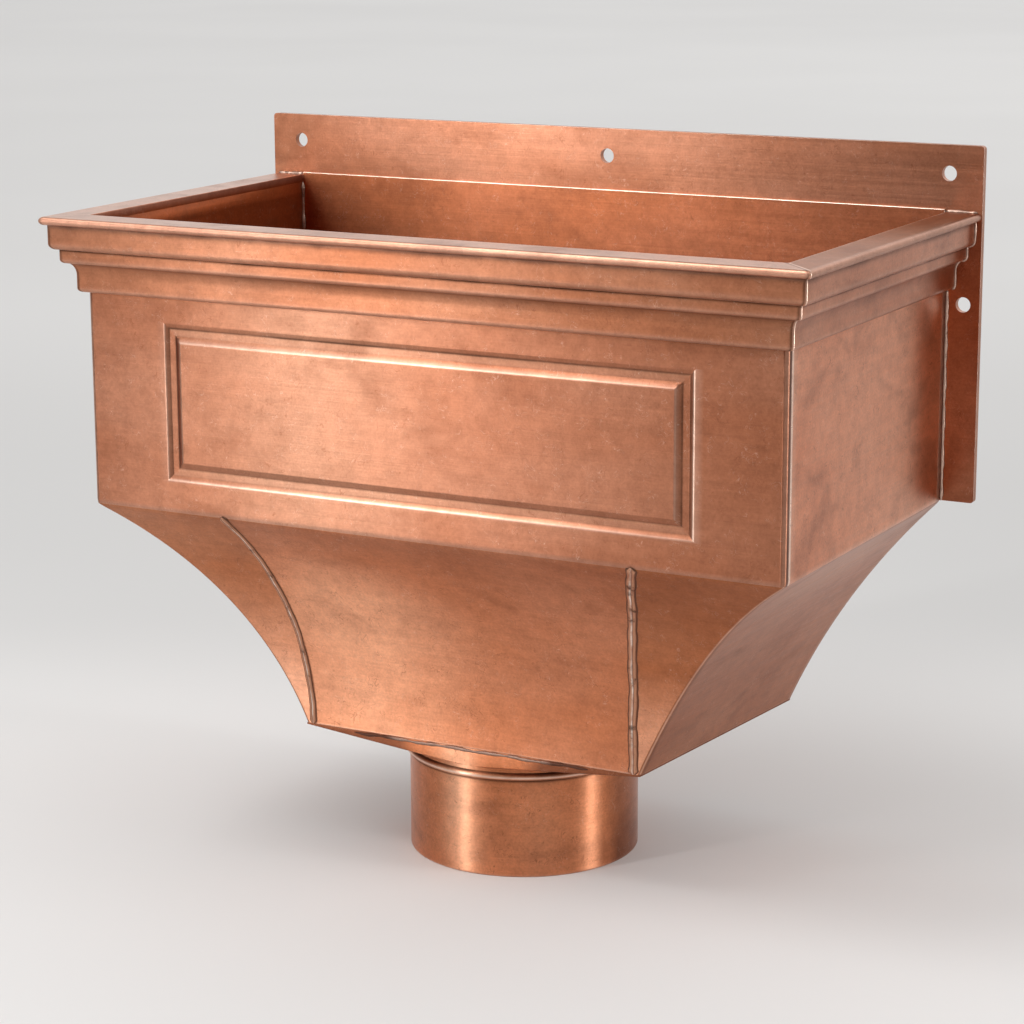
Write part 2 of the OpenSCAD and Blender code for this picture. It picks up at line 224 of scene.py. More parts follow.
def make_piece(name, points, faces, finishes, node, fields=None, closed=False, sharp_deg=None):
    """Puts points and faces into a piece that rides on the body, with one number a point for each field."""
    mesh = bpy.data.meshes.new(name)
    mesh.from_pydata(points.reshape(-1, 3), [], faces)
    for field, values in (fields or {}).items():
        layer = mesh.attributes.new(field, "FLOAT", "POINT")
        layer.data.foreach_set("value", np.ascontiguousarray(values, dtype=np.float32).ravel())
    if closed:
        outward_faces(mesh)
    brush_directions(mesh, points.reshape(-1, 3))
    mesh.polygons.foreach_set("use_smooth", np.ones(len(mesh.polygons), dtype=bool))
    if sharp_deg:
        mesh.set_sharp_from_angle(angle=math.radians(sharp_deg))
    for finish in finishes:
        mesh.materials.append(finish)
    mesh.update()
    piece = bpy.data.objects.new(name, mesh)
    scene.collection.objects.link(piece)
    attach(piece, "root")
    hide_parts(node)
    return piece


def make_sheet(name, points, finish, node, fields, flip=True):
    """A sheet from a grid of points, with its thickness behind that face, its back in the darker inside
    copper as painted shade, and polished cut edges with a painted highlight.
    """
    faces = quads(*points.shape[:2], flip=flip)
    finishes = [finish, shaded_copper_inside, polish_and_sheen_edge]
    piece = make_piece(name, points, faces, finishes, node, fields)
    wall = piece.modifiers.new("sheet", "SOLIDIFY")
    wall.thickness = SHEET
    wall.offset = -1.0
    wall.use_even_offset = True
    wall.material_offset = 1
    wall.material_offset_rim = 2


def softened_copy(name, node, finishes, width=0.0, lift=0.0, cuts=(), tone=None):
    """A merged copy of a CAD node, cut upright at given places; rounded outer edges have the last finish."""
    solid = bmesh.new()
    solid.from_mesh(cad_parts[node].data)
    bmesh.ops.remove_doubles(solid, verts=solid.verts, dist=0.002 * MM)
    bmesh.ops.dissolve_limit(solid, angle_limit=math.radians(1), verts=solid.verts, edges=solid.edges)
    for cut in cuts:
        everything = [*solid.verts, *solid.edges, *solid.faces]
        bmesh.ops.bisect_plane(solid, geom=everything, plane_co=(cut, 0, 0), plane_no=(1, 0, 0))
    merged = bpy.data.meshes.new(name + "_merged")
    solid.to_mesh(merged)
    solid.free()
    points = read_values(merged.vertices, "co", np.float32, 3).astype(float)
    corner = read_values(merged.loops, "vertex_index", np.int32)
    start = read_values(merged.polygons, "loop_start", np.int32)
    faces = list(map(np.ndarray.tolist, np.split(corner, start[1:])))
    bpy.data.meshes.remove(merged)
    low, high = points.min(0), points.max(0)
    points[points[:, 2] > high[2] - 0.1 * MM] += (0, 0, lift)
    fields = {"tone": tone(points)} if tone else None
    piece = make_piece(name, points, faces, finishes, node, fields, sharp_deg=30)
    if not width:
        return
    mesh = piece.data
    ends = read_values(mesh.edges, "vertices", np.int32, 2)
    sharp = read_values(mesh.attributes["sharp_edge"].data, "value", bool)
    to_box = np.minimum(np.abs(points - low), np.abs(points - high))
    rim = to_box[:, (0, 2)].min(1) < lift + 0.1 * MM
    outer = rim[ends].all(1)
    layer = mesh.attributes.new("bevel_weight_edge", "FLOAT", "EDGE")
    layer.data.foreach_set("value", (sharp & outer).astype(np.float32))
    edge = piece.modifiers.new("edge", "BEVEL")
    edge.width = width
    edge.segments = 3
    edge.limit_method = "WEIGHT"
    edge.harden_normals = True
    edge.material = len(finishes) - 1


# Node trees

class Tree:
    """Adds nodes to a tree; an input given as a socket is linked, any other value is set."""

    def __init__(self, tree):
        self.tree = tree

    def add(self, kind, inputs=None, **settings):
        node = self.tree.nodes.new(kind)
        for key, value in settings.items():
            setattr(node, key, value)
        return self.fill(node, inputs or {})

    def fill(self, node, inputs):
        for key, value in inputs.items():
            if isinstance(value, bpy.types.NodeSocket):
                self.tree.links.new(value, node.inputs[key])
            else:
                node.inputs[key].default_value = value
        return node

    def math(self, operation, first, second=0.0, clamp=False):
        inputs = {0: first, 1: second}
        return self.add("ShaderNodeMath", inputs, operation=operation, use_clamp=clamp).outputs[0]

    def product(self, first, second):
        return self.math("MULTIPLY", first, second)

    def total(self, first, *others):
        for other in others:
            first = self.math("ADD", first, other)
        return first

    def noise(self, place, scale, detail=2.0, roughness=0.5, distortion=0.0):
        inputs = {"Vector": place, "Scale": scale, "Detail": detail, "Roughness": roughness,
                  "Distortion": distortion}
        return self.add("ShaderNodeTexNoise", inputs).outputs["Fac"]

    def ramp(self, value, low, high, start=0.0, end=1.0):
        inputs = {0: value, 1: low, 2: high, 3: start, 4: end}
        return self.add("ShaderNodeMapRange", inputs, interpolation_type="SMOOTHSTEP").outputs[0]

    def blend(self, amount, first, second, mode="MIX"):
        inputs = {0: amount, 6: first, 7: second}
        return self.add("ShaderNodeMix", inputs, data_type="RGBA", blend_type=mode).outputs[2]

    def stretched(self, place, scale):
        return self.add("ShaderNodeVectorMath", {0: place, 1: scale}, operation="MULTIPLY").outputs[0]

    def turned(self, place, degrees):
        angles = tuple(math.radians(degree) for degree in degrees)
        return self.add("ShaderNodeMapping", {"Vector": place, "Rotation": angles}).outputs[0]

    def grey(self, value):
        return self.add("ShaderNodeCombineColor", {0: value, 1: value, 2: value}).outputs[0]


SKIN_OUTPUTS = {"Color": "Color", "Roughness": "Float", "Height": "Float"}


def skin_group(name, inputs):
    """A shader group with inputs listed by kind and a skin's three outputs, and the tree that fills it."""
    group = bpy.data.node_groups.new(name, "ShaderNodeTree")
    for kind, sockets in inputs.items():
        for socket in sockets:
            group.interface.new_socket(socket, in_out="INPUT", socket_type="NodeSocket" + kind)
    for socket, kind in SKIN_OUTPUTS.items():
        group.interface.new_socket(socket, in_out="OUTPUT", socket_type="NodeSocket" + kind)
    tree = Tree(group)
    return group, tree, tree.add("NodeGroupInput").outputs, tree.add("NodeGroupOutput")


def make_copper_skin():
    """Aged copper: broad tone, brown patches, brushed grain, specks and hair scratches, with polish and
    painted highlights on folds and edges, painted shade and dirt in creases, and painted light and shade from
    the tone field.

    Noise scales are in lumps per metre. The height is in millimetres and holds the sheet's waviness, the
    grain and a fine unevenness.
    """
    group, tree, given, made = skin_group("aged_copper_skin", {
        "Color": ("Light", "Bright", "Body", "Brown", "Polish", "Shade_Dirt_Colour"),
        "Vector": ("Grain",),
        "Float": ("Mottle", "Wave", "Roughness", "Edge", "Shade_And_Dirt", "Tone"),
    })
    place = tree.add("ShaderNodeTexCoord").outputs["Object"]
    flat = tree.stretched(place, (1.0, 1.0, 1.7))
    broad = tree.noise(flat, 11.0, 2.0, 0.5)
    patch = tree.noise(flat, 30.0, 4.0, 0.55, 0.4)
    cloud = tree.noise(place, 170.0, 3.0, 0.65)
    streak = tree.noise(tree.stretched(place, (22.0, 22.0, 420.0)), 1.0, 3.0, 0.6)
    grain = tree.noise(tree.stretched(place, given["Grain"]), 1.0, 4.0, 0.6)
    grit = tree.noise(place, 950.0, 2.0, 0.6)
    speck = tree.ramp(tree.noise(place, 640.0, 2.0, 0.5), 0.64, 0.74)
    speck = tree.product(speck, tree.ramp(patch, 0.42, 0.6))
    hairs = []
    for degrees, scale, shift in (((20, 35, 10), 190.0, 0.5), ((-40, 15, 65), 260.0, 0.46)):
        lines = tree.noise(tree.turned(place, degrees), scale, 1.5, 0.5, 1.4)
        lines = tree.math("ABSOLUTE", tree.math("SUBTRACT", lines, shift))
        spread = tree.ramp(tree.noise(tree.turned(place, degrees), 0.6 * scale, 2.0), 0.5, 0.62)
        hairs.append(tree.product(tree.ramp(lines, 0.0, 0.016, 1.0, 0.0), spread))

    brown = tree.product(tree.ramp(patch, 0.44, 0.76), given["Mottle"])
    color = tree.blend(tree.ramp(broad, 0.3, 0.7), given["Body"], given["Bright"])
    # Where the tone field is positive the colour turns to the pale copper, a painted highlight; where it is
    # negative it turns brown, painted shade.
    uneven = tree.ramp(patch, 0.2, 0.8, 0.6, 1.3)
    color = tree.blend(tree.math("MULTIPLY", given["Tone"], uneven, clamp=True), color, given["Light"])
    shade_tone = tree.math("MULTIPLY", tree.product(given["Tone"], -1.0), uneven, clamp=True)
    color = tree.blend(tree.math("MAXIMUM", brown, shade_tone), color, given["Brown"])
    tone = tree.total(tree.ramp(cloud, 0.2, 0.8, 0.9, 1.1), tree.ramp(streak, 0.25, 0.75, -0.04, 0.04),
                      tree.ramp(grain, 0.2, 0.8, -0.04, 0.04), tree.ramp(grit, 0.25, 0.75, -0.08, 0.08))
    color = tree.blend(1.0, color, tree.grey(tone), "MULTIPLY")
    color = tree.blend(tree.product(speck, 0.4), color, given["Brown"])
    color = tree.blend(tree.product(hairs[0], 0.55), color, given["Brown"])
    color = tree.blend(tree.product(hairs[1], 0.18), color, given["Polish"])
    # The edge field turns the colour to polished copper, polish with a painted highlight; the crease field
    # turns it near black, painted shade with some dirt.
    edge = tree.product(given["Edge"], tree.ramp(cloud, 0.25, 0.7, 0.7, 1.0))
    shade_and_dirt = tree.product(given["Shade_And_Dirt"], tree.ramp(patch, 0.3, 0.6, 0.65, 1.0))
    color = tree.blend(edge, color, given["Polish"])
    color = tree.blend(shade_and_dirt, color, given["Shade_Dirt_Colour"])

    rough = tree.total(given["Roughness"], tree.product(brown, 0.1), tree.ramp(grain, 0.2, 0.8, -0.04, 0.04),
                       tree.product(shade_and_dirt, 0.25), tree.product(edge, -0.08))
    wave = tree.product(tree.noise(place, 7.0, 1.0), given["Wave"])
    height = tree.total(wave, tree.product(grain, 0.05), tree.product(cloud, 0.045))
    tree.fill(made, {"Color": color, "Roughness": rough, "Height": height})
    return group


def make_solder_skin():
    """Dull tin: grey runs stained brown, darker still where the crease field paints shade, paler where the
    edge field paints a highlight, with a lumpy height in millimetres.
    """
    group, tree, given, made = skin_group("solder_skin", {
        "Color": ("Tin", "Stain", "Sheen"),
        "Float": ("Edge", "Shade_And_Dirt"),
    })
    place = tree.add("ShaderNodeTexCoord").outputs["Object"]
    lumps = tree.noise(place, 320.0, 3.0, 0.55, 0.4)
    stain = tree.ramp(tree.noise(place, 150.0, 4.0, 0.65, 0.6), 0.52, 0.74)
    stain = tree.math("MAXIMUM", stain, given["Shade_And_Dirt"])
    crest = tree.product(given["Edge"], tree.ramp(lumps, 0.3, 0.6, 0.35, 1.0))
    color = tree.blend(stain, tree.blend(crest, given["Tin"], given["Sheen"]), given["Stain"])
    rough = tree.total(tree.product(stain, 0.2), 0.34)
    tree.fill(made, {"Color": color, "Roughness": rough, "Height": tree.product(lumps, 0.25)})
    return group


COAT_ROUGHNESS = 0.3
QUARTER_TURN = 0.25


def metal_material(name, group, values, metallic, coat=0.0, brushed=0.0):
    """A metal whose colour, roughness and bump come from a skin group, driven by the piece's own fields."""
    material = bpy.data.materials.new(name)
    material.use_nodes = True
    tree = Tree(material.node_tree)
    shader = material.node_tree.nodes["Principled BSDF"]
    skin = tree.add("ShaderNodeGroup", values, node_tree=group)
    # The edge field carries polish and painted highlights, the crease field painted shade and dirt, and the
    # tone field painted light and shade.
    for field in ("Edge", "Shade_And_Dirt", "Tone"):
        if field in skin.inputs:
            source = tree.add("ShaderNodeAttribute", attribute_name=field.lower()).outputs["Fac"]
            tree.fill(skin, {field: source})
    relief = tree.add("ShaderNodeBump", {"Height": skin.outputs["Height"], "Strength": 1.0, "Distance": MM})
    tree.fill(shader, {
        "Base Color": skin.outputs["Color"],
        "Roughness": skin.outputs["Roughness"],
        "Normal": relief.outputs["Normal"],
        "Metallic": metallic,
        "Coat Weight": coat,
        "Coat Roughness": COAT_ROUGHNESS,
    })
    if brushed:
        level = tree.add("ShaderNodeTangent", direction_type="UV_MAP", uv_map="brush").outputs["Tangent"]
        tree.fill(shader, {"Tangent": level, "Anisotropic": brushed, "Anisotropic Rotation": QUARTER_TURN})
    return material


copper_skin = make_copper_skin()
solder_skin = make_solder_skin()

BRIGHT_COPPER = (0.50, 0.215, 0.127, 1)
BODY_COPPER = (0.44, 0.162, 0.083, 1)
BROWN_COPPER = (0.24, 0.082, 0.040, 1)
POLISH_AND_SHEEN_COPPER = (0.92, 0.67, 0.54, 1)
PAINTED_SHEEN_COPPER = (0.82, 0.40, 0.245, 1)
SHADE_AND_DIRT_COLOUR = (0.06, 0.027, 0.017, 1)
BRUSHED_ALONG = (9.0, 9.0, 1500.0)


def copper(name, bright=BRIGHT_COPPER, body=BODY_COPPER, light=PAINTED_SHEEN_COPPER, mottle=0.5, wave=0.35,
           rough=0.36, brushed=0.92, coat=0.06):
    """One sheet's copper, with its own tones on the shared skin."""
    values = {"Light": light, "Bright": bright, "Body": body, "Brown": BROWN_COPPER,
              "Polish": POLISH_AND_SHEEN_COPPER, "Shade_Dirt_Colour": SHADE_AND_DIRT_COLOUR, "Grain": BRUSHED_ALONG, "Mottle": mottle,
              "Wave": wave, "Roughness": rough}
    return metal_material(name, copper_skin, values, metallic=1.0, coat=coat, brushed=brushed)


# The sheets' copies of copper are set lighter or darker by which way each faces the lamps: painted light and
# shade. The front panel and front moulding are darkest; the side panels and the outlet lightest, the side
# mouldings lighter than the front moulding, the front cove lighter than the side coves; the right rim is a
# darker copy of the rim; the inside copy, on the backs of the sheets and the rim's inner faces, is darker and
# redder as painted shade inside the box. Each copy's pale tone is a painted highlight.
panel_copper = copper("panel_copper", bright=(0.41, 0.172, 0.10, 1), body=(0.35, 0.127, 0.065, 1),
                      light=(0.45, 0.225, 0.14, 1))
side_copper = copper("side_copper", bright=(0.71, 0.30, 0.17, 1), body=(0.63, 0.228, 0.113, 1))
moulding_copper = copper("moulding_copper", bright=(0.415, 0.176, 0.098, 1), body=(0.365, 0.131, 0.063, 1),
                         wave=0.1)
side_moulding_copper = copper("side_moulding_copper", bright=(0.55, 0.236, 0.138, 1),
                              body=(0.48, 0.178, 0.09, 1), wave=0.1)
rim_copper = copper("rim_copper", light=(0.55, 0.35, 0.27, 1), wave=0.1, brushed=0.0)
shaded_copper_right_rim = copper("shaded_copper_right_rim", bright=(0.40, 0.165, 0.095, 1), body=(0.34, 0.125, 0.062, 1),
                          light=(0.34, 0.135, 0.06, 1), wave=0.1, brushed=0.0, coat=0.0)
plate_copper = copper("plate_copper", bright=(0.465, 0.205, 0.122, 1), body=(0.41, 0.157, 0.082, 1), wave=0.5)
inner_copper = copper("inner_copper", bright=(0.48, 0.165, 0.08, 1), body=(0.41, 0.13, 0.055, 1), wave=0.5)
shaded_copper_inside = copper("shaded_copper_inside", bright=(0.47, 0.118, 0.038, 1), body=(0.39, 0.088, 0.026, 1),
                       light=(0.50, 0.13, 0.042, 1), wave=0.5, rough=0.5, brushed=0.0, coat=0.0)
cove_copper = copper("cove_copper", bright=(0.55, 0.222, 0.12, 1), body=(0.485, 0.166, 0.075, 1),
                     light=(0.80, 0.38, 0.22, 1))
side_cove_copper = copper("side_cove_copper", bright=(0.46, 0.175, 0.083, 1), body=(0.40, 0.131, 0.052, 1))
outlet_copper = copper("outlet_copper", bright=(0.67, 0.25, 0.118, 1), body=(0.59, 0.2, 0.085, 1),
                       light=(0.98, 0.52, 0.32, 1), wave=0.1)
# Pale cut edges of the sheets: polish with a painted highlight.
polish_and_sheen_edge = copper("polish_and_sheen_edge", bright=POLISH_AND_SHEEN_COPPER, body=(0.86, 0.52, 0.38, 1), mottle=0.25,
                       wave=0.0, rough=0.24)
# Pale rounded edges of the wall plate and back panel: a painted highlight.
highlight_edge = copper("highlight_edge", bright=(1.0, 0.82, 0.70, 1), body=(0.96, 0.72, 0.58, 1), mottle=0.1,
                     wave=0.0, rough=0.3, brushed=0.0)
tin_solder = metal_material("tin_solder", solder_skin, {
    "Tin": (0.50, 0.345, 0.275, 1),
    "Stain": (0.12, 0.052, 0.034, 1),
    "Sheen": (0.88, 0.76, 0.68, 1),
}, metallic=0.9)
seam_solder = metal_material("seam_solder", solder_skin, {
    "Tin": (0.54, 0.265, 0.16, 1),
    "Stain": (0.11, 0.047, 0.03, 1),
    "Sheen": (0.97, 0.88, 0.80, 1),
}, metallic=0.9)

# Where copper is painted lighter as a highlight or darker as shade, as a centre and a width: lengths across
# the box and the cornice, shares of the cove's half width, and round the outlet an amount with two angles in
# degrees
PANEL_GLOW = (-52 * MM, 46 * MM)
CORNICE_GLOW = (-100 * MM, 55 * MM)
CORNICE_SHADE = (5 * MM, 60 * MM)
COVE_GLOW = (-0.58, 0.5)
OUTLET_GLOWS = ((0.85, -6, 10), (0.12, 36, 12), (0.3, 63, 6))


# The box

def plan_corner(count=8):
    """A quarter circle in plan, from the front face round to the side face, as sine and cosine."""
    turn = np.radians(np.linspace(0, 90, count))
    return np.sin(turn), np.cos(turn)


PRESS_KNOTS = np.cumsum([0, RECESS_SLOPE, LEDGE_W, FIELD_BEVEL])


def pressed_profile():
    """Section through the panel's edge: depth by distance from its outline, with softened folds."""
    place = np.arange(-3 * MM, PRESS_KNOTS[-1] + 3 * MM, 0.05 * MM)
    depth = np.interp(place, PRESS_KNOTS, [0, RECESS_DEPTH, RECESS_DEPTH, -FIELD_PROUD])
    reach = np.arange(-3 * PRESS_SOFT, 3 * PRESS_SOFT, 0.05 * MM)
    kernel = hump(reach, 0, PRESS_SOFT)
    edged = np.pad(depth, len(kernel), mode="edge")
    return place, np.convolve(edged, kernel / kernel.sum(), "same")[len(kernel):-len(kernel)]


def lower_bend(height):
    """How far a wall's face is drawn in over its bottom bend, a parabola that is zero above the bend."""
    near = np.clip(1 - height / BEND_R, 0, 1)
    return near, 0.2 * BEND_R * near ** 2


def build_front_panel():
    """Front sheet: a plan line with folded corners, raised upright, and sunk by the pressed profile."""
    place, depth = pressed_profile()
    far = HALF - PANEL_SIDE
    low, high = BOX_Z + PANEL_BELOW, CORNICE_Z - PANEL_ABOVE
    fold = HALF - CORNER_R
    across = stations(0, fold, 4 * MM, (*(far - PRESS_KNOTS), fold), 0.8 * MM, 0.16 * MM)
    sine, cosine = plan_corner()
    back = np.linspace(FRONT_Y + CORNER_R, FRONT_Y + FRONT_RETURN, 12)[1:]
    right_x = np.concatenate([across, fold + CORNER_R * sine[1:], np.full(len(back), HALF)])
    corner_y = FRONT_Y + CORNER_R - CORNER_R * cosine[1:]
    right_y = np.concatenate([np.full(len(across), FRONT_Y), corner_y, back])
    plan_x = np.concatenate([-right_x[:0:-1], right_x])
    plan_y = np.concatenate([right_y[:0:-1], right_y])
    marks = (*(low + PRESS_KNOTS), *(high - PRESS_KNOTS))
    rise = stations(BOX_Z, RIM_Z, 4 * MM, marks, 0.8 * MM, 0.16 * MM)
    rise = np.unique(np.append(rise, np.linspace(BOX_Z, BOX_Z + BEND_R, 9)))
    z, x = np.meshgrid(rise, plan_x, indexing="ij")
    y = np.broadcast_to(plan_y, z.shape).copy()
    to_sides = np.stack([high - z, z - low, far + x, far - x])
    inside, nearest = to_sides.min(0), to_sides.argmin(0)
    y += np.interp(inside, place, depth)
    bend, draw = lower_bend(z - BOX_Z)
    facing = np.clip((FRONT_Y + CORNER_R - y) / CORNER_R, 0, 1)
    y += draw * facing
    x -= np.sign(x) * draw * (1 - facing)

    def by_side(top, bottom, left, right):
        """One of four values for each point, by the panel's side that it is nearest to."""
        return np.array([top, bottom, left, right])[nearest]

    # Painted highlights on the sunk border's outer fold, most on its right side, and on the field's crest,
    # all weaker towards the panel's right; painted shade at the foot of the sunk border and at the ledge's
    # inner edge; the ledges painted lighter at the top and bottom and darker at the sides.
    outer, foot, ledge, crest = PRESS_KNOTS
    sheen_falloff = 1 - 0.5 * np.clip(x / far, 0, 1)
    polish = (by_side(0.0, 0.55, 0.3, 1.7) * sheen_falloff * hump(inside, outer, 0.5 * MM)
              + by_side(0.5, 0.0, 0.3, 0.5) * sheen_falloff * hump(inside, crest - 0.2 * MM, 0.45 * MM))
    recess_shade = (by_side(0.75, 0.3, 0.5, 0.4) * hump(inside, foot, 0.5 * MM)
             + by_side(0.2, 0.35, 0.5, 0.5) * hump(inside, ledge, 0.45 * MM))
    ledge_light_and_shade = by_side(0.5, 0.5, -0.3, -0.2) * (inside > foot) * (inside < ledge)
    # Along each corner's return: a dark line at the lap joint, and a painted highlight on the lap's bare cut
    # edge.
    behind = np.where(np.abs(x) > HALF - 0.3 * CORNER_R, y - FRONT_Y, 0)
    lap_line = hump(behind, 0.55 * FRONT_RETURN, 0.8 * MM)
    lap_edge = climb(behind, 0.78 * FRONT_RETURN, 0.3 * MM)
    # Painted highlights on the corner folds, stronger on the left, and on the lower bend.
    fold_glow = np.where(x < 0, 0.4, 0.15) * hump(HALF - np.abs(x), 0.4 * CORNER_R, 0.4 * CORNER_R)
    fields = {
        "edge": np.maximum.reduce([polish, 0.15 * bend, fold_glow, 0.95 * lap_edge]),
        "shade_and_dirt": np.maximum(recess_shade, 0.85 * lap_line),
        # Tone: a painted highlight left of the middle, and painted shade towards the right side.
        "tone": 0.8 * hump(x, *PANEL_GLOW) - 0.25 * np.clip(x / HALF - 0.2, 0, 1) + ledge_light_and_shade,
    }
    points = np.stack([x, y, z], -1)
    make_sheet("front_panel_sheet", points, panel_copper, "front_panel", fields)


def build_side_panels():
    """Side sheets: plain upright faces between the front sheet's fold and the wall plate."""
    along = stations(FRONT_Y + FRONT_RETURN, PLATE_Y, 6 * MM, (FRONT_Y + FRONT_RETURN,), 1.2 * MM, 0.2 * MM)
    rise = stations(BOX_Z, RIM_Z, 6 * MM, (BOX_Z,), BEND_R, 0.3 * MM)
    z, y = np.meshgrid(rise, along, indexing="ij")
    bend, draw = lower_bend(z - BOX_Z)
    behind = y - FRONT_Y - FRONT_RETURN
    # A painted highlight on the lap's bare cut edge at the front and on the lower bend.
    lap_edge = np.clip(2.2 - behind / (0.6 * MM), 0, 1)
    back_share = behind / (PLATE_Y - FRONT_Y)
    edge = np.maximum(0.15 * bend, 0.95 * lap_edge)
    for side, hand in SIDES:
        points = np.stack([hand * (HALF - draw), y, z], -1)
        # Tone: painted lighter towards the wall plate, and on the left side painted shade towards the front.
        front_shade = 0.2 * (1 - hand) * np.clip(0.9 - back_share, 0, 1)
        fields = {"edge": edge, "tone": 0.95 * np.clip(back_share - 0.15, 0, 1) - front_shade}
        make_sheet(side + "_side_sheet", points, side_copper, side + "_side_panel", fields, flip=hand > 0)


def cornice_outline():
    """Outer line of the moulding as (out, rise): band, cavetto, member, fascia, with rounded lower folds."""
    member_z = BAND_H + CAVETTO_H
    fascia_z = member_z + MEMBER_H
    hollow = arc((0, 0), 1.0, 180, 90, 16) * (CAVETTO_R, CAVETTO_H)
    return np.concatenate([
        [[0, 0]],
        arc((BAND_OUT - FOLD_R, FOLD_R), FOLD_R, -90, 0),
        hollow + (BAND_OUT + CAVETTO_R, BAND_H),
        arc((MEMBER_OUT - FOLD_R, member_z + FOLD_R), FOLD_R, -90, 0),
        [[MEMBER_OUT, fascia_z]],
        arc((FASCIA_OUT - FASCIA_FOLD_R, fascia_z + FASCIA_FOLD_R), FASCIA_FOLD_R, -90, 0, 14),
        [[FASCIA_OUT, RIM_Z - CORNICE_Z], [0, RIM_Z - CORNICE_Z]],
    ])


def rim_outline():
    """Section of the rim strip as (out, rise): flat faces, a half-round nose and a softened inner edge."""
    nose = (RIM_TOP - RIM_Z) / 2
    inner = 0.4 * MM
    return np.concatenate([
        [[-SHEET, 0]],
        arc((RIM_OUT - nose, nose), nose, -90, 90, 14),
        arc((inner - SHEET, 2 * nose - inner), inner, 90, 180, 5),
    ])


MITRE_TURN = np.radians(np.linspace(45, 0, 7))[:-1]
MITRE_FADE = np.clip(1.8 * MITRE_TURN / MITRE_TURN[0], 0, 1)


def front_run(out, rise, base_z):
    """Carries a section along the front: straight, then round half of each mitred corner."""
    x_end = (HALF + out - MITRE_R)[:, None]
    middle = stations(-1, 1, 4 * MM / HALF, (-1, 1), 3 * MM / HALF, 0.3 * MM / HALF)
    x_corner = x_end + MITRE_R * np.sin(MITRE_TURN)
    x = np.concatenate([-x_corner, x_end * middle, x_corner[:, ::-1]], 1)
    draw = MITRE_R * (1 - np.cos(MITRE_TURN))
    draw = np.concatenate([draw, np.zeros(len(middle)), draw[::-1]])
    y = FRONT_Y - out[:, None] + draw
    z = np.broadcast_to((base_z + rise)[:, None], x.shape)
    line = hump((1 - np.abs(middle)) * HALF, 0.3 * MM, 0.6 * MM)
    corner = np.concatenate([MITRE_FADE, np.zeros(len(middle)), MITRE_FADE[::-1]])
    none = 0 * MITRE_FADE
    return np.stack([x, y, z], -1), 0.35 * corner, np.concatenate([none, line, none])


def side_run(out, rise, base_z):
    """Carries a section along the right side, from half of the mitred corner back to the wall plate."""
    y_end = FRONT_Y - out + MITRE_R
    middle = stations(0, 1, 4 * MM / (PLATE_Y - FRONT_Y))
    x_corner = (HALF + out)[:, None] - MITRE_R * (1 - np.cos(MITRE_TURN))
    y_corner = y_end[:, None] - MITRE_R * np.sin(MITRE_TURN)
    x = np.concatenate([x_corner, np.repeat((HALF + out)[:, None], len(middle), 1)], 1)
    y = np.concatenate([y_corner, y_end[:, None] + (PLATE_Y - y_end)[:, None] * middle], 1)
    z = np.broadcast_to((base_z + rise)[:, None], x.shape)
    corner = np.concatenate([MITRE_FADE, np.zeros(len(middle))])
    return np.stack([x, y, z], -1), corner, 0 * corner


def inner_faces(piece):
    """Gives the second finish to the faces of a rim that look into the box."""
    x, y, _ = read_values(piece.data.polygons, "center", np.float32, 3).T
    inner = (np.abs(x) < HALF - SHEET + 0.2 * MM) & (y > FRONT_Y + SHEET - 0.2 * MM)
    piece.data.polygons.foreach_set("material_index", inner.astype(np.int32))


def build_mouldings(kind, outline, base_z, finishes, spacing, edge_gain, mitre_edge, lit_top=0.0):
    """Sweeps one section along the front and both sides, mitred at the front and closed at the ends."""
    outline = spaced(outline, spacing)
    # Painted highlights on the outward folds and painted shade in the inward folds.
    edge, shade_and_dirt = bends(outline, 0.7 * MM)
    out, rise = outline.T
    # On the rim the flat top is painted lighter. On the cornice: a painted highlight left of the middle,
    # painted shade over the member and fascia about the middle, and painted shade along the top under the
    # rim's nose.
    tone = lit_top * (rise > rise.max() - 0.1 * MM)
    upper_shade = 0.3 * (1 - lit_top) * (rise > BAND_H + CAVETTO_H)
    cornice_sheen = 0.16 * (1 - lit_top)
    under = rise.max() - rise
    shade_under_nose = (1 - lit_top) * 0.7 * hump(under, 0, 1.6 * MM)
    for side in ("front", "left", "right"):
        points, corner, line = (front_run if side == "front" else side_run)(out, rise, base_z)
        if side == "left":
            points = points * (-1, 1, 1)
        x = points[..., 0]
        fields = {
            # A painted highlight down each mitre, and on the front a dark line beside it: painted shade.
            "edge": np.maximum(edge_gain * edge[:, None], mitre_edge * corner),
            "shade_and_dirt": np.maximum(np.maximum(0.8 * shade_and_dirt, shade_under_nose)[:, None], 0.7 * line),
            "tone": (tone[:, None] + cornice_sheen * hump(x, *CORNICE_GLOW)
                     - upper_shade[:, None] * hump(x, *CORNICE_SHADE)),
        }
        node = side + "_" + kind
        piece = make_piece(node + "_strip", points, tube_faces(points), finishes[side], node,
                           fields, closed=True, sharp_deg=50)
        if len(finishes[side]) > 1:
            inner_faces(piece)


# The funnel

def front_cove_line(rise):
    """The front cove's arc: depth and upright normal by height above the funnel's foot."""
    turn = np.arcsin(np.clip(rise / FRONT_COVE_R, 0, 1))
    return FOOT_Y - FRONT_COVE_R * (1 - np.cos(turn)), turn


def seam_x(y):
    """Where the seam crosses the front cove: a straight line in plan from the top corner in to the foot."""
    top = HALF - SEAM_TOP_IN
    foot = HALF - SIDE_IN - SEAM_FOOT_IN
    return top + (foot - top) * (y - FRONT_Y) / FRONT_IN


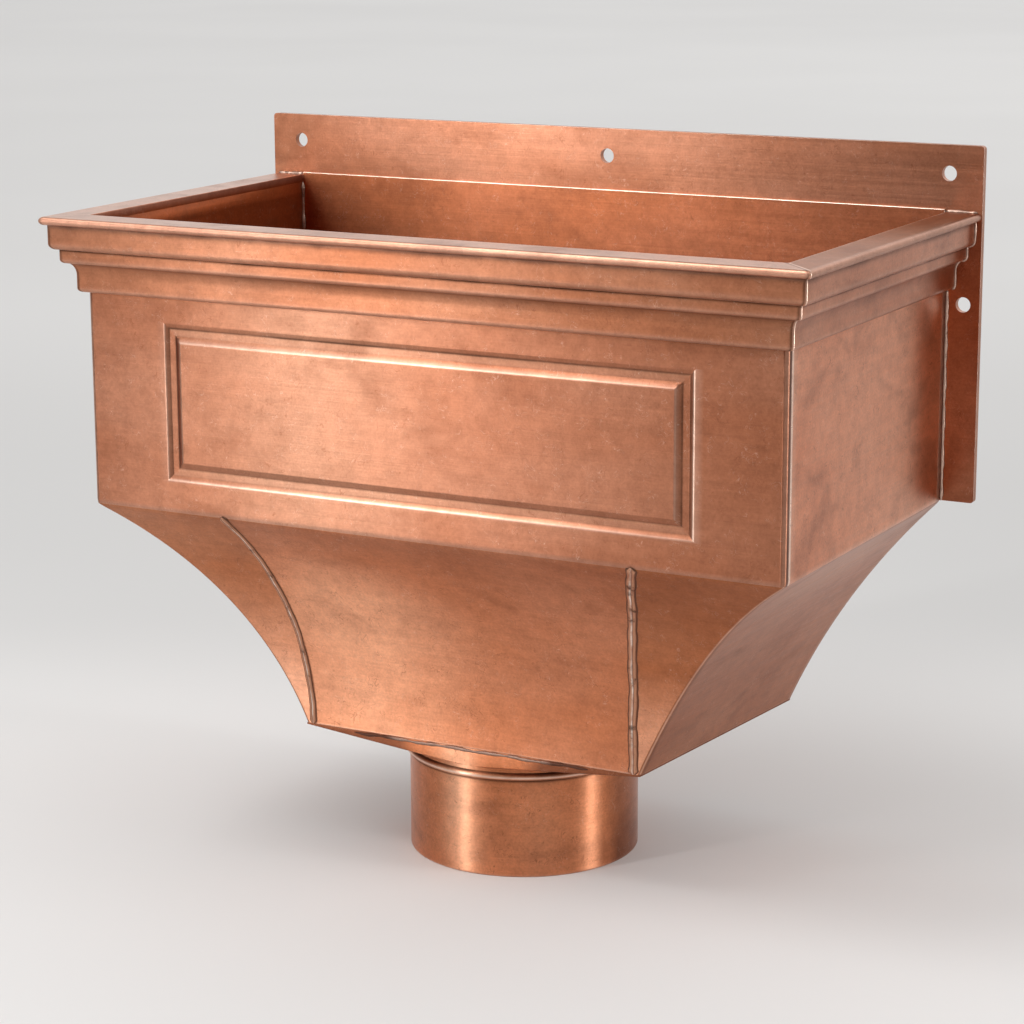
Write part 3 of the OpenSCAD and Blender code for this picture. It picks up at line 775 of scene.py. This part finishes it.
def side_cove_x(y, z):
    """The right cove's surface: at each depth an arc of its own, less deep towards the wall."""
    inset = SIDE_IN + (SIDE_IN_BACK - SIDE_IN) * (y - FOOT_Y) / (PLATE_Y - FOOT_Y)
    top_lean = 2 * np.arctan(inset / FUNNEL_H) - SIDE_LEAN
    radius = FUNNEL_H / (np.sin(top_lean) - math.sin(SIDE_LEAN))
    centre_x = HALF - inset + radius * math.cos(SIDE_LEAN)
    centre_z = FUNNEL_Z - radius * np.sin(SIDE_LEAN)
    return centre_x - np.sqrt(radius ** 2 - (z - centre_z) ** 2)


def cove_rise():
    """Heights up the funnel, closer together at its foot and at the bend under the box."""
    return stations(0, FUNNEL_H, 1.6 * MM, (0, FUNNEL_H), BEND_R, 0.25 * MM)


def upper_bend(rise):
    """How far a cove is drawn in over the bend under the box, where it meets the wall's own lower bend."""
    return 0.2 * BEND_R * np.clip(1 - (FUNNEL_H - rise) / BEND_R, 0, 1) ** 2


def foot_polish(rise):
    """Polish on the cut edge at a cove's foot."""
    return np.clip(1 - rise / (0.8 * MM), 0, 1)


def build_front_cove():
    """Front of the funnel: an arc raised from foot to box, as wide at each height as the seams leave it."""
    rise = cove_rise()
    y, _ = front_cove_line(rise)
    share = stations(-1, 1, 0.03)
    x = seam_x(y)[:, None] * share
    y = np.repeat((y + upper_bend(rise))[:, None], len(share), 1)
    points = np.stack([x, y, np.repeat((FUNNEL_Z + rise)[:, None], len(share), 1)], -1)
    edge = np.repeat(0.4 * foot_polish(rise)[:, None], len(share), 1)
    # Tone: a painted highlight on the left of the cove below its top, a little weaker at the foot, and
    # painted shade over the upper part elsewhere.
    level = (rise / FUNNEL_H)[:, None]
    cove_sheen = hump(share, *COVE_GLOW) * climb(level, 0.95, -0.3)
    cove_sheen *= 1 - 0.3 * np.clip(1 - level / 0.3, 0, 1)
    tone = 0.95 * cove_sheen - 0.45 * climb(level, 0.55, 0.4) * (1 - cove_sheen)
    make_sheet("front_cove_sheet", points, cove_copper, "front_cove", {"edge": edge, "tone": tone})


def build_side_coves():
    """Gusset, rounded hip and side cove in one sheet: at each height a straight, an arc and a long line."""
    rise = cove_rise()[:, None]
    z = FUNNEL_Z + rise
    front, _ = front_cove_line(rise)
    start = seam_x(front)
    hip = np.minimum(HIP_R, 0.55 * (side_cove_x(front, z) - start))
    corner_x = side_cove_x(front + hip, z)
    share = np.linspace(0, 1, 26)
    gusset_x = start + (corner_x - hip - start) * share
    turn = np.radians(np.linspace(0, 90, 12))[1:]
    hip_x = corner_x - hip + hip * np.sin(turn)
    hip_y = front + hip - hip * np.cos(turn)
    back_share = np.linspace(0, 1, 48)[1:]
    side_y = front + hip + (PLATE_Y - front - hip) * back_share
    side_x = side_cove_x(side_y, z)
    x = np.concatenate([gusset_x, hip_x, side_x], 1)
    y = np.concatenate([np.repeat(front, len(share), 1), hip_y, side_y], 1)
    z = np.repeat(z, x.shape[1], 1)
    around = np.concatenate([np.zeros(len(share)), turn, np.full(len(back_share), np.pi / 2)])
    x = x - upper_bend(rise) * np.sin(around)
    y = y + upper_bend(rise) * np.cos(around)
    # A painted highlight along the hip, and painted shade in a line just past it on the side cove.
    fold = 0.5 * hump(around, 0.7, 0.3)
    edge = np.maximum(0.15 * foot_polish(rise), fold)
    level = rise / FUNNEL_H
    # Tone on the gussets only: painted lighter low down and painted shade high up, the left gusset painted
    # lighter than the right.
    tone = 0.7 * climb(level, 0.5, -0.3) - 0.4 * climb(level, 0.5, 0.3)
    past_hip = np.concatenate([np.zeros(len(share)), turn, np.pi / 2 + 40 * back_share])
    shade_and_dirt = np.broadcast_to(0.4 * hump(past_hip, 1.6, 0.4), x.shape)
    for side, hand in SIDES:
        points = np.stack([hand * x, y, z], -1)
        on_gusset = (tone + 0.15 - 0.15 * hand) * (around < 0.1)
        fields = {"edge": edge, "shade_and_dirt": shade_and_dirt, "tone": on_gusset}
        make_sheet(side + "_cove_sheet", points, side_cove_copper, side + "_cove", fields, flip=hand > 0)


# The outlet

def outlet_tone(points):
    """Painted highlights by heading round the outlet, where the lamps are reflected, and painted shade on its
    right flank.
    """
    heading = np.degrees(np.arctan2(points[..., 0], -points[..., 1]))
    flank = climb(heading, 70, 12) * (heading < 150)
    return sum(amount * hump(heading, *glow) for amount, *glow in OUTLET_GLOWS) - 0.75 * flank


def transition_tone(points):
    """The outlet's painted highlights and shade in the middle, and brown painted shade on the flanks above
    the collar.
    """
    above_collar = points[:, 2] > TUBE_TOP + 1 * MM
    flank = climb(np.abs(points[:, 0]), 24 * MM, 12 * MM) * above_collar
    return outlet_tone(points) * (1 - flank) - 1.2 * flank


def build_outlet_tube():
    """A section turned about the outlet's axis: round lower lip, plain wall and rolled bead near the top."""
    lip = SHEET / 2
    bead_z = TUBE_TOP - BEAD_BELOW_TOP
    outline = spaced(np.concatenate([
        arc((OUTLET_R - lip, lip), lip, 180, 360, 12),
        arc((OUTLET_R, bead_z), BEAD_R, -90, 90, 18),
        [[OUTLET_R, TUBE_TOP], [OUTLET_R - SHEET, TUBE_TOP]],
    ]), 1.5 * MM)
    around = np.linspace(0, 2 * np.pi, 180, endpoint=False)
    radius, z = outline[:, :1], outline[:, 1:]
    points = np.stack([radius * np.cos(around), radius * np.sin(around), np.repeat(z, len(around), 1)], -1)
    outside = radius > OUTLET_R - 0.1 * MM
    # A painted highlight along the bead, and painted shade in the lines beside it.
    bead_sheen = 0.9 * hump(z, bead_z, 0.55 * MM) * outside
    bead_shade = 0.9 * hump(np.abs(z - bead_z), 1.6 * MM, 0.7 * MM) * outside
    lip_polish = 0.3 * hump(z, 0, 0.8 * MM)
    fields = {
        "edge": np.repeat(np.maximum(bead_sheen, lip_polish), len(around), 1),
        "shade_and_dirt": np.repeat(bead_shade, len(around), 1),
        "tone": outlet_tone(points),
    }
    faces = quads(len(outline), len(around), wrap_rows=True, wrap_cols=True)
    make_piece("outlet_tube_sheet", points, faces, [outlet_copper], "outlet_tube", fields,
               closed=True, sharp_deg=50)


# Solder

def make_solder(name, points, node, fields, finish=tin_solder):
    """A closed run of solder from a grid of points, its section down the rows."""
    make_piece(name, points, tube_faces(points), [finish], node, fields, closed=True, sharp_deg=60)


def build_bead(name, path, first, second, radius, seed, taper=2.0 * MM):
    """Solder in a corner: a quarter round between two directions along a path, with an uneven radius."""
    run = run_along(path)
    ends = end_fade(run, taper)
    size = radius * (0.66 + 0.25 * wobble(run, seed, 14 * MM)) * np.sqrt(0.15 + 0.85 * ends)
    turn = np.radians(np.linspace(0, 90, 9))[:, None, None]
    skin = path + size[:, None] * (np.cos(turn) * first + np.sin(turn) * second)
    root = (path - 0.15 * MM * (first + second))[None]
    points = np.concatenate([skin, root])
    # Painted shade along both edges of the bead, where it meets the sheets.
    rim = np.abs(np.linspace(-1, 1, 9)) ** 4
    shade_and_dirt = np.repeat(np.append(rim, 1)[:, None], len(path), 1)
    make_solder(name + "_bead", points, name + "_solder", {"shade_and_dirt": shade_and_dirt})


def straight(start, end, spacing=0.8 * MM):
    """Evenly spaced points from one place to another."""
    start, end = np.asarray(start, float), np.asarray(end, float)
    share = np.linspace(0, 1, max(2, round(np.linalg.norm(end - start) / spacing)))[:, None]
    return start + (end - start) * share


def outline_normals(outline):
    """Outward direction at each point of a moulding's outline."""
    step = np.gradient(outline, axis=0)
    normal = np.stack([step[:, 1], -step[:, 0]], -1)
    return normal / np.linalg.norm(normal, axis=1, keepdims=True)


def build_corner_solder():
    """Beads against the wall plate, in the box's rear corners, and on the ends of the rim and cornice."""
    forward = np.array([0.0, -1.0, 0.0])
    up = np.array([0.0, 0.0, 1.0])
    ends = spaced(cornice_outline()[1:-1], 0.8 * MM)
    normal = outline_normals(ends)
    for side, hand in SIDES:
        outward = np.array([hand, 0.0, 0.0])
        seed = 10 + hand
        low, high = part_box(side + "_wall_solder")
        path = straight((hand * HALF, PLATE_Y, low.z), (hand * HALF, PLATE_Y, high.z))
        build_bead(side + "_wall", path, outward, forward, high.x - low.x, seed)

        low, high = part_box(side + "_inner_solder")
        corner = (hand * (HALF - SHEET), high.y)
        path = straight((*corner, low.z), (*corner, high.z))
        build_bead(side + "_inner", path, -outward, forward, high.x - low.x, seed + 20)

        low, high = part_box(side + "_rim_solder")
        path = straight((low.x, PLATE_Y, RIM_TOP), (high.x, PLATE_Y, RIM_TOP))
        build_bead(side + "_rim", path, up, forward, high.z - low.z, seed + 40, taper=1 * MM)

        low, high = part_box(side + "_cornice_solder")
        outer = hand * (HALF + ends[:, 0])
        path = np.stack([outer, np.full(len(ends), PLATE_Y), CORNICE_Z + ends[:, 1]], -1)
        away = np.stack([hand * normal[:, 0], np.zeros(len(ends)), normal[:, 1]], -1)
        build_bead(side + "_cornice", path, away, forward, 1.5 * (high.y - low.y), seed + 60, taper=1 * MM)


def build_cove_seams():
    """Two half-round ridges side by side down each seam of the funnel, uneven and rounded at the ends."""
    rise = stations(0, FUNNEL_H + 0.4 * MM, 0.9 * MM)
    y, turn = front_cove_line(rise)
    path = np.stack([seam_x(y), y, FUNNEL_Z + rise], -1)
    run = run_along(path)
    normal = np.stack([np.zeros(len(turn)), -np.cos(turn), -np.sin(turn)], -1)
    along = np.gradient(path, axis=0)
    along /= np.linalg.norm(along, axis=1, keepdims=True)
    across = np.cross(along, normal)
    reach = RIDGE_GAP / 2 + RIDGE_R
    skirt = 0.55 * MM
    place = np.linspace(-1, 1, 41)[:, None] * (reach + skirt)
    end = end_fade(run, 1.6 * MM)
    blob = 1 + 0.22 * hump(run, run[-1], 3 * MM) + 0.15 * hump(run, 0, 3 * MM)
    for side, hand in SIDES:
        seed = 80 + hand
        uneven = 1 + 0.14 * wobble(run, seed, 17 * MM)
        size = (0.82 + 0.14 * hand) * blob * uneven * np.sqrt(0.1 + 0.9 * end)
        drift = 0.35 * MM * wobble(run, seed + 7, 40 * MM)
        near = np.minimum(np.abs(place - RIDGE_GAP / 2), np.abs(place + RIDGE_GAP / 2))
        height = np.sqrt(np.clip(RIDGE_R ** 2 - near ** 2, 0, None)) * size
        height = np.maximum(height, 0.16 * MM * (np.abs(place) < reach + 0.9 * skirt))
        skin = path + (place * size + drift)[..., None] * across + (height - 0.1 * MM)[..., None] * normal
        root = (path - 0.5 * MM * normal)[None]
        points = np.concatenate([skin, root]) * (hand, 1, 1)
        # Painted shade in a line beside the middle and along the outer edges, and a patchy painted highlight
        # along the middle.
        valley = 0.7 * hump(place, 0.5 * MM, 0.22 * MM) + 0.85 * np.clip(np.abs(place) / reach, 0, 1) ** 7
        shade_and_dirt = np.concatenate([np.repeat(valley, len(path), 1), np.ones((1, len(path)))])
        patchy = np.clip(0.75 + 0.7 * wobble(run, seed + 14, 25 * MM), 0, 1)
        ridge_sheen = patchy * hump(place, -0.1 * MM, 0.38 * MM)
        fields = {"edge": np.concatenate([ridge_sheen, np.zeros((1, len(path)))]), "shade_and_dirt": shade_and_dirt}
        make_solder(side + "_seam_ridges", points, side + "_cove_seam", fields, seam_solder)


def build_outlet_solder():
    """A thin half round below the front cove's lower edge, uneven and drawn out at both ends."""
    low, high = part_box("outlet_solder")
    path = straight((low.x, high.y, (low.z + high.z) / 2), (high.x, high.y, (low.z + high.z) / 2))
    run = path[:, 0] - low.x
    ends = end_fade(run, 6 * MM)
    size = (high.y - low.y) * (0.8 + 0.3 * wobble(run, 120, 16 * MM)) * np.sqrt(0.1 + 0.9 * ends)
    turn = np.radians(np.linspace(-90, 90, 11))[:, None]
    y = path[:, 1] + 0.1 * MM - size * np.cos(turn)
    z = path[:, 2] + 0.3 * MM * wobble(run, 121, 30 * MM) + size * np.sin(turn)
    points = np.stack([np.broadcast_to(path[:, 0], y.shape), y, z], -1)
    # Painted shade over the whole bead, most along its edges and beyond 30 mm to either side.
    shade_and_dirt = np.repeat(0.45 + 0.55 * np.abs(np.linspace(-1, 1, 11))[:, None] ** 4, len(path), 1)
    shade_and_dirt = np.maximum(shade_and_dirt, climb(np.abs(path[:, 0]), 30 * MM, 10 * MM))
    make_solder("outlet_bead", points, "outlet_solder", {"shade_and_dirt": shade_and_dirt})


# The wall plate's and back panel's rounded outer edges take the pale last finish: a painted highlight.
softened_copy("wall_plate_sheet", "wall_plate", [plate_copper, highlight_edge], EDGE_ROUND)
softened_copy("back_panel_sheet", "back_panel", [inner_copper, highlight_edge], EDGE_ROUND,
              BACK_LIFT)
softened_copy("outlet_transition_sheet", "outlet_transition", [outlet_copper],
              cuts=np.arange(-80, 81, 5) * MM, tone=transition_tone)
build_front_panel()
build_side_panels()
build_mouldings("cornice", cornice_outline(), CORNICE_Z, {
    "front": [moulding_copper],
    "left": [side_moulding_copper],
    "right": [side_moulding_copper],
}, spacing=0.8 * MM, edge_gain=0.2, mitre_edge=0.95)
build_mouldings("rim", rim_outline(), RIM_Z, {
    "front": [rim_copper, shaded_copper_inside],
    "left": [rim_copper, shaded_copper_inside],
    "right": [shaded_copper_right_rim, shaded_copper_inside],
}, spacing=1.0 * MM, edge_gain=0.3, mitre_edge=0.8, lit_top=1.0)
build_front_cove()
build_side_coves()
build_outlet_tube()
build_corner_solder()
build_cove_seams()
build_outlet_solder()


# Floor, light and camera

FLOOR_REACH = 30.0
FLOOR_PAPER = (0.78, 0.775, 0.77, 1)
VIEW_HEADING = (-0.474, 0.881, 0.0)
SURROUND_FRONT = 0.26
SURROUND_BACK = 0.80
SURROUND_HIGH = 0.68
SURROUND_SEEN = 0.74
BODY_MIDDLE = (0.0, -0.02, 0.18)


def build_floor():
    """A wide round sheet of pale paper: rings about the outlet's axis, at the outlet's lower end."""
    radius = np.linspace(0, 1, 24)[1:, None] ** 2 * FLOOR_REACH
    around = np.linspace(0, 2 * np.pi, 96, endpoint=False)
    z = np.zeros((len(radius), len(around)))
    points = np.stack([radius * np.cos(around), radius * np.sin(around), z], -1).reshape(-1, 3)
    faces = quads(len(radius), len(around), wrap_cols=True) + [list(range(len(around)))]
    mesh = bpy.data.meshes.new("paper_floor")
    mesh.from_pydata(points, [], faces)
    outward_faces(mesh)
    floor = bpy.data.objects.new("paper_floor", mesh)
    scene.collection.objects.link(floor)
    paper = bpy.data.materials.new("pale_paper")
    paper.use_nodes = True
    tree = Tree(paper.node_tree)
    shader = paper.node_tree.nodes["Principled BSDF"]
    place = tree.add("ShaderNodeTexCoord").outputs["Object"]
    tone = tree.ramp(tree.noise(place, 1.2, 2.0), 0.3, 0.7)
    color = tree.blend(tone, FLOOR_PAPER, tuple(0.97 * part for part in FLOOR_PAPER[:3]) + (1,))
    ahead = {0: place, 1: VIEW_HEADING}
    depth = tree.add("ShaderNodeVectorMath", ahead, operation="DOT_PRODUCT").outputs["Value"]
    # Painted light and shade on the paper by distance ahead of the camera: painted shade from just behind the
    # outlet, painted light rising to about 1.7 m, and painted shade far off.
    shade = tree.product(tree.ramp(depth, 0.12, 0.40, 1.0, 0.86), tree.ramp(depth, 0.35, 1.7, 1.0, 1.29))
    shade = tree.product(shade, tree.ramp(depth, 1.8, 6.5, 1.0, 0.78))
    color = tree.blend(1.0, color, tree.grey(shade), "MULTIPLY")
    tree.fill(shader, {"Base Color": color, "Roughness": 0.9, "Specular IOR Level": 0.1})
    mesh.materials.append(paper)


def softbox(name, place, aim, width, height, power):
    """A rectangular lamp at a place, facing the point it is aimed at."""
    lamp = bpy.data.lights.new(name, "AREA")
    lamp.shape = "RECTANGLE"
    lamp.size = width
    lamp.size_y = height
    lamp.energy = power
    box = bpy.data.objects.new(name, lamp)
    towards = Vector(aim) - Vector(place)
    box.matrix_world = Matrix.Translation(place) @ towards.to_track_quat("-Z", "Y").to_matrix().to_4x4()
    scene.collection.objects.link(box)


def build_world():
    """Soft studio surround: dim in front, paler behind, bright overhead, and pale past the floor's edge."""
    world = bpy.data.worlds.new("studio")
    world.use_nodes = True
    scene.world = world
    tree = Tree(world.node_tree)
    sky = world.node_tree.nodes["Background"]
    heading = tree.add("ShaderNodeTexCoord").outputs["Generated"]
    parts = tree.add("ShaderNodeSeparateXYZ", {0: heading}).outputs
    low = tree.ramp(parts[1], -0.2, 0.6, SURROUND_FRONT, SURROUND_BACK)
    glow = tree.ramp(parts[2], 0.1, 0.75, low, SURROUND_HIGH)
    seen = tree.add("ShaderNodeLightPath").outputs["Is Camera Ray"]
    strength = tree.add("ShaderNodeMix", {0: seen, 2: glow, 3: SURROUND_SEEN}, data_type="FLOAT").outputs[0]
    tree.fill(sky, {"Strength": strength, "Color": (1.0, 0.99, 0.98, 1)})


build_floor()
build_world()
softbox("strip_front_left", (-0.85, -1.43, 0.70), (-0.05, -0.09, 0.25), width=0.10, height=1.4, power=8.0)
softbox("box_right", (1.32, 0.15, 0.50), BODY_MIDDLE, width=0.26, height=1.0, power=6.5)
softbox("key_left", (-0.52, -0.54, 1.38), (0.0, -0.2, 0.1), width=0.7, height=0.7, power=7.5)
softbox("ceiling_back", (-1.8, 6.8, 2.8), (-1.8, 6.8, 0.0), width=10.0, height=7.0, power=125.0)

CAMERA_PLACE = Vector((0.57739, -1.08398, 0.43192))
CAMERA_AZIMUTH = math.radians(28.272)
CAMERA_ELEVATION = math.radians(13.014)
CAMERA_ROLL = math.radians(-0.245)
CAMERA_LENS = 102.88


def build_camera():
    """The photograph's viewpoint: a place, two angles and a small roll."""
    level = math.cos(CAMERA_ELEVATION)
    back = Vector((math.sin(CAMERA_AZIMUTH) * level, -math.cos(CAMERA_AZIMUTH) * level,
                   math.sin(CAMERA_ELEVATION)))
    right = (-back).cross(Vector((0, 0, 1))).normalized()
    up = right.cross(-back)
    turned_right = math.cos(CAMERA_ROLL) * right + math.sin(CAMERA_ROLL) * up
    turned_up = math.cos(CAMERA_ROLL) * up - math.sin(CAMERA_ROLL) * right
    view = bpy.data.cameras.new("photo_camera")
    view.lens = CAMERA_LENS
    view.sensor_width = 36.0
    view.clip_end = 200.0
    camera = bpy.data.objects.new("photo_camera", view)
    turn = Matrix((turned_right, turned_up, back)).transposed().to_4x4()
    camera.matrix_world = Matrix.Translation(CAMERA_PLACE) @ turn
    scene.collection.objects.link(camera)
    scene.camera = camera


build_camera()
scene.view_settings.view_transform = "Standard"
